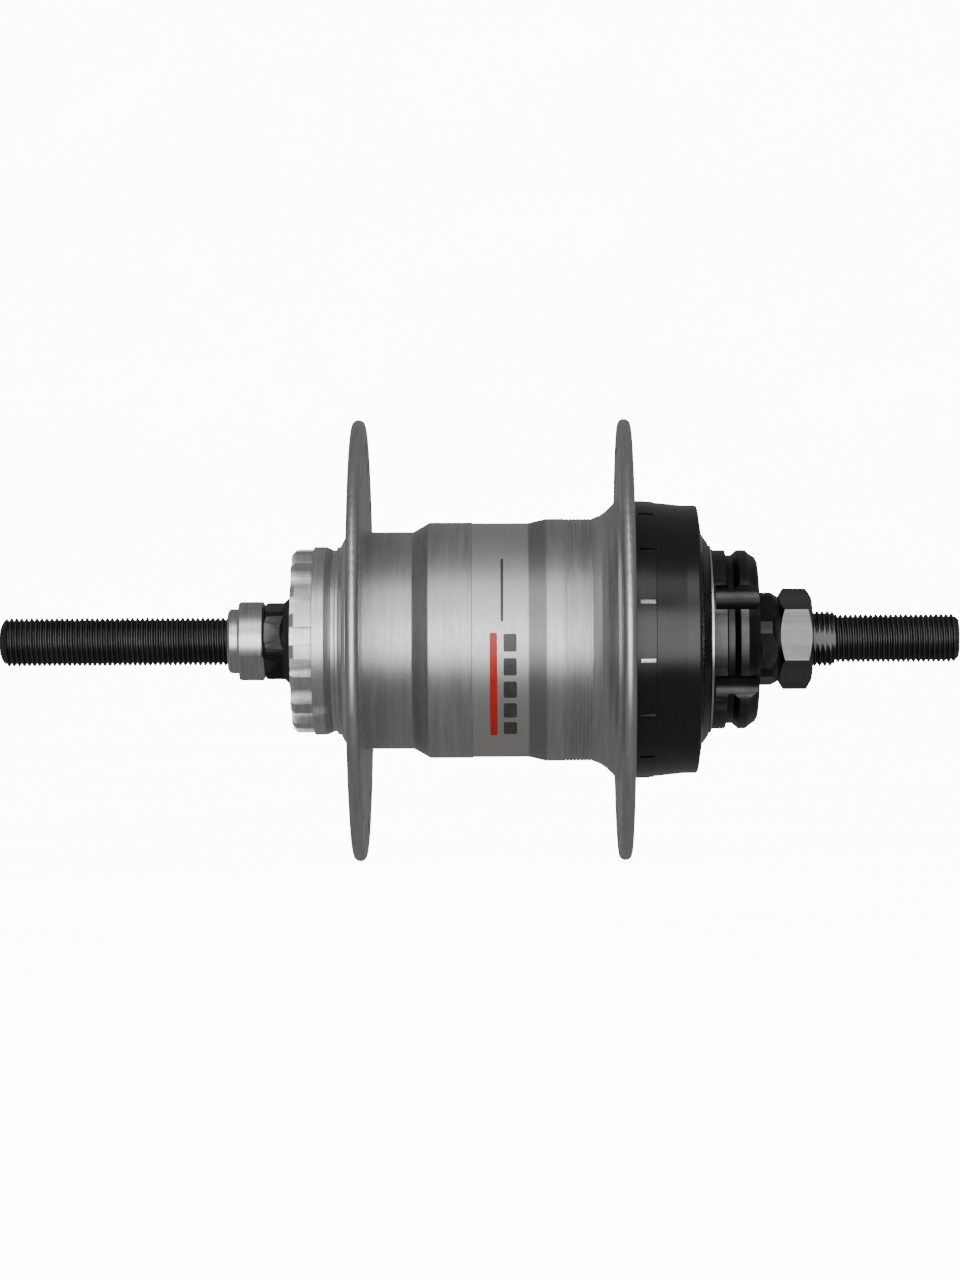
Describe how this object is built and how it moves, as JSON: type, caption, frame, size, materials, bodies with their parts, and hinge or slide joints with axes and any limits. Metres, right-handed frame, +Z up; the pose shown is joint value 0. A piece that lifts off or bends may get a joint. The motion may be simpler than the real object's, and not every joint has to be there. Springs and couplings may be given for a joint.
{
  "type": "bicycle hub gear",
  "caption": "Internally geared rear bicycle hub: planetary gear train on a fixed threaded axle inside a flanged shell, with a splined driver and a serrated brake mount.",
  "frame": {"origin": "On the axle's axis, in the wheel's middle plane, halfway between the outer faces of the two locknuts that the frame's dropouts press on.", "axes": "+Y along the axle toward the brake side, -Y toward the drive side (sprocket), +Z up, +X the way the bicycle travels."},
  "size_m": [0.0856, 0.186, 0.0856],
  "materials": {
    "black_axle": "black oxide",
    "black_oxide": "black oxide",
    "black_cap": "satin",
    "nut_steel": "turned bright",
    "black_nut": "black oxide",
    "hardened_steel": "ground",
    "spring_steel": "drawn",
    "gear_steel": "machined",
    "shell_aluminium": "turned and brushed",
    "flange_aluminium": "satin polished",
    "spline_steel": "satin polished",
    "cup_steel": "ground bright",
    "seal_rubber": "matte",
    "cover_plastic": "gloss black",
    "ball_steel": "polished",
    "cage_steel": "pressed"
  },
  "bodies": {
    "axle_assembly": {"axle": "black_axle", "left_cone": "black_oxide", "left_dust_cap": "black_cap", "left_lock_nut": "nut_steel", "right_cone": "black_oxide", "right_lock_nut": "black_nut", "spring_seat_washer": "hardened_steel"},
    "push_rod_and_key": {"push_rod": "hardened_steel", "axle_key": "hardened_steel", "clutch_spring": "spring_steel"},
    "clutch": {"sliding_clutch": "hardened_steel", "clutch_retaining_ring": "spring_steel"},
    "driver_assembly": {"driver": "black_oxide", "driver_dust_plate": "nut_steel"},
    "ring_gear_assembly": {"ring_gear": "gear_steel", "ring_gear_pawls": "hardened_steel", "ring_gear_pawl_pins": "hardened_steel", "ring_gear_pawl_spring": "spring_steel"},
    "carrier_assembly": {"planet_carrier": "gear_steel", "planet_pins": "hardened_steel", "carrier_pawls": "hardened_steel", "carrier_pawl_pins": "hardened_steel", "carrier_pawl_spring": "spring_steel"},
    "planet_1": {"planet_gear_1": "gear_steel"},
    "planet_2": {"planet_gear_2": "gear_steel"},
    "planet_3": {"planet_gear_3": "gear_steel"},
    "planet_4": {"planet_gear_4": "gear_steel"},
    "hub_shell": {"shell_body": "shell_aluminium", "left_flange": "flange_aluminium", "right_flange": "flange_aluminium", "carrier_ratchet_ring": "hardened_steel", "brake_spline_ring": "spline_steel", "left_ball_cup": "hardened_steel", "left_seal": "seal_rubber", "right_ball_cup": "cup_steel", "right_seal": "seal_rubber", "right_dust_cover": "cover_plastic"},
    "left_bearing": {"left_balls": "ball_steel", "left_cage": "cage_steel"},
    "driver_bearing": {"driver_balls": "ball_steel", "driver_cage": "cage_steel"},
    "shell_bearing": {"shell_balls": "ball_steel", "shell_cage": "cage_steel"}
  },
  "joints": [
    {"name": "driver_spin", "type": "hinge", "parent": "axle_assembly", "child": "driver_assembly", "pos_m": [0, 0, 0], "axis": [0, 1, 0], "continuous": true},
    {"name": "ring_gear_spin", "type": "hinge", "parent": "axle_assembly", "child": "ring_gear_assembly", "pos_m": [0, 0, 0], "axis": [0, 1, 0], "continuous": true},
    {"name": "carrier_spin", "type": "hinge", "parent": "axle_assembly", "child": "carrier_assembly", "pos_m": [0, 0, 0], "axis": [0, 1, 0], "continuous": true},
    {"name": "planet_1_spin", "type": "hinge", "parent": "carrier_assembly", "child": "planet_1", "pos_m": [0.01125, 0, 0], "axis": [0, 1, 0], "continuous": true},
    {"name": "planet_2_spin", "type": "hinge", "parent": "carrier_assembly", "child": "planet_2", "pos_m": [0, 0, 0.01125], "axis": [0, 1, 0], "continuous": true},
    {"name": "planet_3_spin", "type": "hinge", "parent": "carrier_assembly", "child": "planet_3", "pos_m": [-0.01125, 0, 0], "axis": [0, 1, 0], "continuous": true},
    {"name": "planet_4_spin", "type": "hinge", "parent": "carrier_assembly", "child": "planet_4", "pos_m": [0, 0, -0.01125], "axis": [0, 1, 0], "continuous": true},
    {"name": "shell_freewheel", "type": "hinge", "parent": "carrier_assembly", "child": "hub_shell", "pos_m": [0, 0, 0], "axis": [0, 1, 0], "continuous": true},
    {"name": "push_rod_slide", "type": "slide", "parent": "axle_assembly", "child": "push_rod_and_key", "axis": [0, 1, 0], "range_m": [0, 0.006], "stiffness_N_per_m": 600, "springref_m": -0.004, "deforming": ["clutch_spring"]},
    {"name": "clutch_slide", "type": "slide", "parent": "driver_assembly", "child": "clutch", "axis": [0, 1, 0], "range_m": [0, 0.006]},
    {"name": "left_bearing_roll", "type": "hinge", "parent": "axle_assembly", "child": "left_bearing", "pos_m": [0, 0, 0], "axis": [0, 1, 0], "continuous": true},
    {"name": "driver_bearing_roll", "type": "hinge", "parent": "axle_assembly", "child": "driver_bearing", "pos_m": [0, 0, 0], "axis": [0, 1, 0], "continuous": true},
    {"name": "shell_bearing_roll", "type": "hinge", "parent": "axle_assembly", "child": "shell_bearing", "pos_m": [0, 0, 0], "axis": [0, 1, 0], "continuous": true}
  ],
  "couplings": [
    {"joint": "ring_gear_spin", "follows": "driver_spin", "ratio": 1},
    {"joint": "carrier_spin", "follows": "driver_spin", "ratio": 0.73333},
    {"joint": "planet_1_spin", "follows": "driver_spin", "ratio": 0.8381},
    {"joint": "planet_2_spin", "follows": "driver_spin", "ratio": 0.8381},
    {"joint": "planet_3_spin", "follows": "driver_spin", "ratio": 0.8381},
    {"joint": "planet_4_spin", "follows": "driver_spin", "ratio": 0.8381},
    {"joint": "clutch_slide", "follows": "push_rod_slide", "ratio": 1},
    {"joint": "left_bearing_roll", "follows": "driver_spin", "ratio": 0.44433},
    {"joint": "driver_bearing_roll", "follows": "driver_spin", "ratio": 0.57723},
    {"joint": "shell_bearing_roll", "follows": "driver_spin", "ratio": 0.85369}
  ]
}
